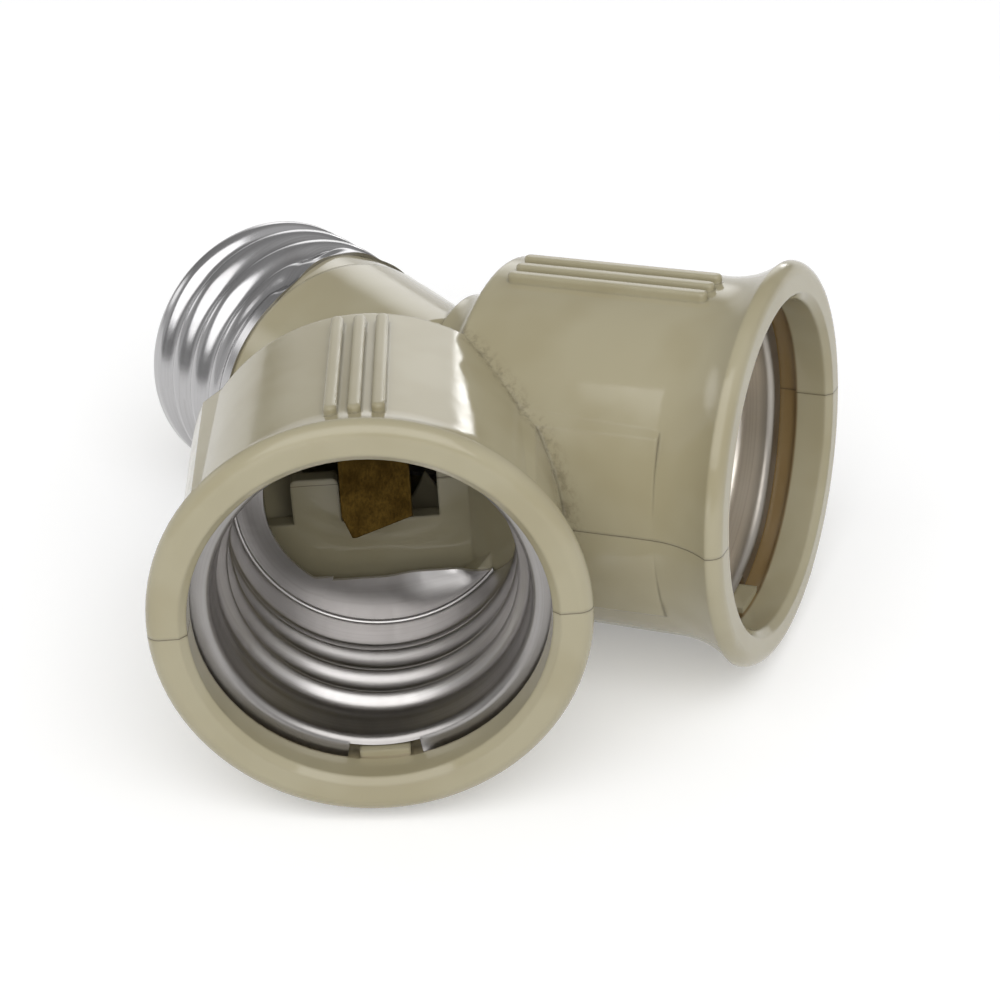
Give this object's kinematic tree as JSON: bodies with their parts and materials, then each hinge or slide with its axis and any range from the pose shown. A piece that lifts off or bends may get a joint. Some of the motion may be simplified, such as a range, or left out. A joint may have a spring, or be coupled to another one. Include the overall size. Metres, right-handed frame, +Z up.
{
  "type": "lamp socket adapter",
  "caption": "Y-shaped lamp socket splitter: a screw base feeding angled screw sockets, in a cream housing moulded as halves, with flared rims and grip ribs.",
  "frame": {"origin": "centre of the bounding box's bottom face, on the surface the adapter lies on", "axes": "+X across the two sockets, +Y towards the end of the screw base, +Z up from the surface it lies on"},
  "size_m": [0.073, 0.0694, 0.0375],
  "materials": {
    "housing_plastic": "glossy cream moulding",
    "screw_aluminium": "bright rolled sheet",
    "socket_aluminium": "drawn sheet with fine streaks",
    "insulator_plastic": "satin cream moulding",
    "contact_brass": "dull stamped brass",
    "strap_steel": "plain strip"
  },
  "bodies": {
    "root": {"upper_housing": "housing_plastic", "lower_housing": "housing_plastic", "screw_shell": "screw_aluminium", "left_socket_shell": "socket_aluminium", "right_socket_shell": "socket_aluminium", "end_insulator": "insulator_plastic", "tip_contact": "contact_brass", "contact_plate": "contact_brass", "neutral_strap": "strap_steel"}
  },
  "joints": []
}
